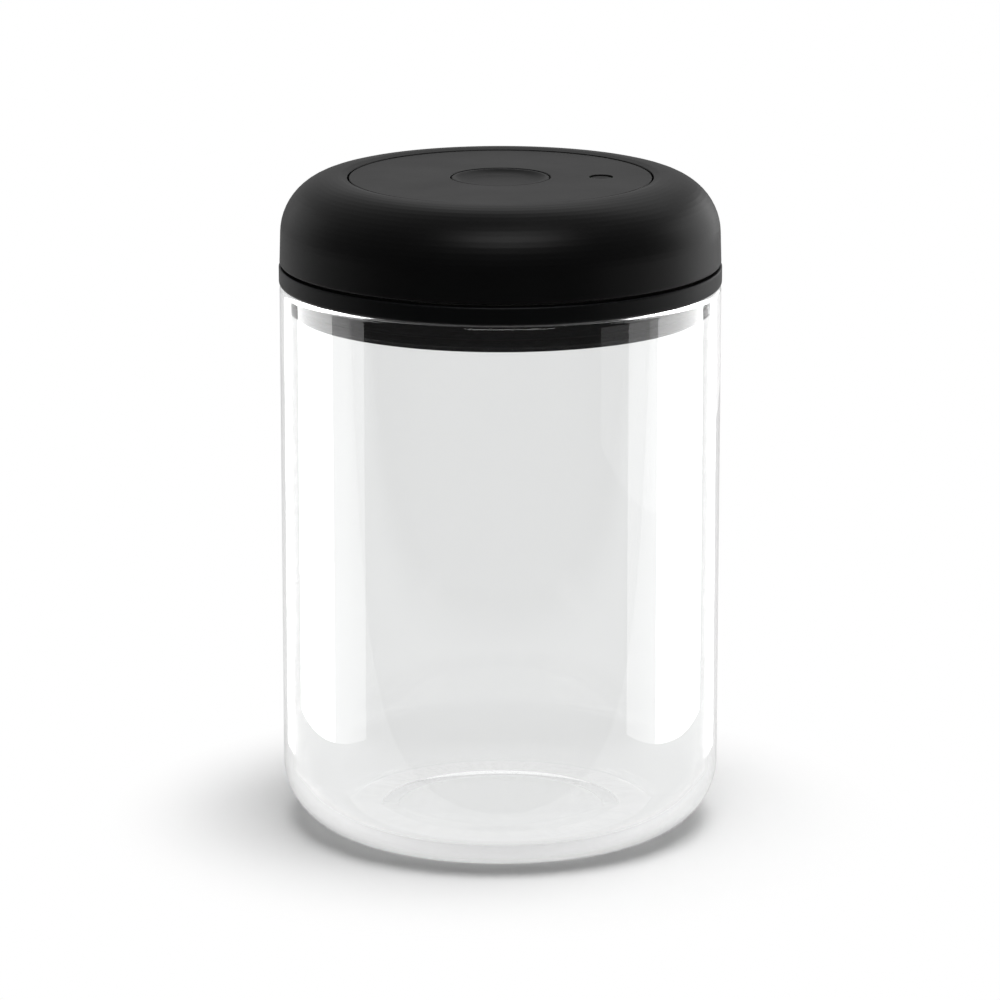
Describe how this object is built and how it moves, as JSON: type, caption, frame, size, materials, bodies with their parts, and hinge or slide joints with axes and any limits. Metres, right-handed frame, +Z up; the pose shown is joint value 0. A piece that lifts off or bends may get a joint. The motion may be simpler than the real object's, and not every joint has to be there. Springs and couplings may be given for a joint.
{
  "type": "vacuum canister",
  "caption": "Round glass food storage jar with a black twist-to-pump vacuum lid, a central release button and a vacuum indicator.",
  "frame": {"origin": "middle of the jar's foot, on the table", "axes": "+Z up along the jar's axis, +X towards the vacuum indicator, -Y towards the viewer of the picture"},
  "size_m": [0.1238, 0.1238, 0.1861],
  "materials": {
    "jar_glass": "clear, polished",
    "lid_black": "soft-touch matt black",
    "base_black": "satin moulded black",
    "gasket_black": "matt silicone",
    "glide_white": "smooth acetal",
    "frame_grey": "satin moulded grey",
    "piston_white": "smooth moulded",
    "valve_silicone": "matt silicone",
    "seal_rubber": "matt",
    "steel": "plated",
    "brass": "turned",
    "signal_green": "smooth",
    "filter_felt": "felted"
  },
  "bodies": {
    "jar": {"glass_jar": "jar_glass"},
    "lid": {"lid_rim": "base_black", "pump_deck": "frame_grey", "seal_gasket": "gasket_black", "glide_ring": "glide_white", "retaining_ring": "frame_grey", "retaining_screws": "steel", "top_plate": "lid_black", "top_plate_screws": "steel", "button_spring": "steel", "indicator_sleeve": "signal_green", "indicator_housing": "frame_grey", "indicator_diaphragm": "valve_silicone", "indicator_clamp": "frame_grey", "indicator_spring": "steel", "underside_cover": "base_black", "dust_filter": "filter_felt", "pump_screws": "steel", "pump_cylinder_1": "frame_grey", "inlet_valve_1": "valve_silicone", "exhaust_valve_1": "valve_silicone", "pump_cylinder_2": "frame_grey", "inlet_valve_2": "valve_silicone", "exhaust_valve_2": "valve_silicone"},
    "grip": {"grip_ring": "lid_black", "cam_plate": "glide_white", "cam_screws": "steel"},
    "piston_1": {"pump_piston_1": "piston_white", "piston_ring_1": "seal_rubber", "follower_sleeve_1": "brass"},
    "piston_2": {"pump_piston_2": "piston_white", "piston_ring_2": "seal_rubber", "follower_sleeve_2": "brass"},
    "release": {"button_cap": "lid_black", "release_stem": "frame_grey", "poppet_seal": "valve_silicone"},
    "indicator": {"indicator_plunger": "lid_black"}
  },
  "joints": [
    {"name": "lid_lift", "type": "slide", "parent": "jar", "child": "lid", "axis": [0, 0, 1], "range_m": [0, 0.12]},
    {"name": "grip_twist", "type": "hinge", "parent": "lid", "child": "grip", "pos_m": [0, 0, 0.165], "axis": [0, 0, 1], "range_deg": [0, 75]},
    {"name": "piston_1_slide", "type": "slide", "parent": "lid", "child": "piston_1", "axis": [0, 1, 0], "range_m": [0, 0.009]},
    {"name": "piston_2_slide", "type": "slide", "parent": "lid", "child": "piston_2", "axis": [0, -1, 0], "range_m": [0, 0.009]},
    {"name": "release_press", "type": "slide", "parent": "lid", "child": "release", "axis": [0, 0, -1], "range_m": [0, 0.0025], "stiffness_N_per_m": 600, "springref_m": -0.005, "deforming": ["button_spring"]},
    {"name": "indicator_sink", "type": "slide", "parent": "lid", "child": "indicator", "axis": [0, 0, -1], "range_m": [0, 0.003], "stiffness_N_per_m": 200, "springref_m": -0.002, "deforming": ["indicator_spring"]}
  ],
  "couplings": [
    {"joint": "piston_1_slide", "follows": "grip_twist", "m_per_rad": 0.0068754},
    {"joint": "piston_2_slide", "follows": "grip_twist", "m_per_rad": 0.0068754}
  ]
}
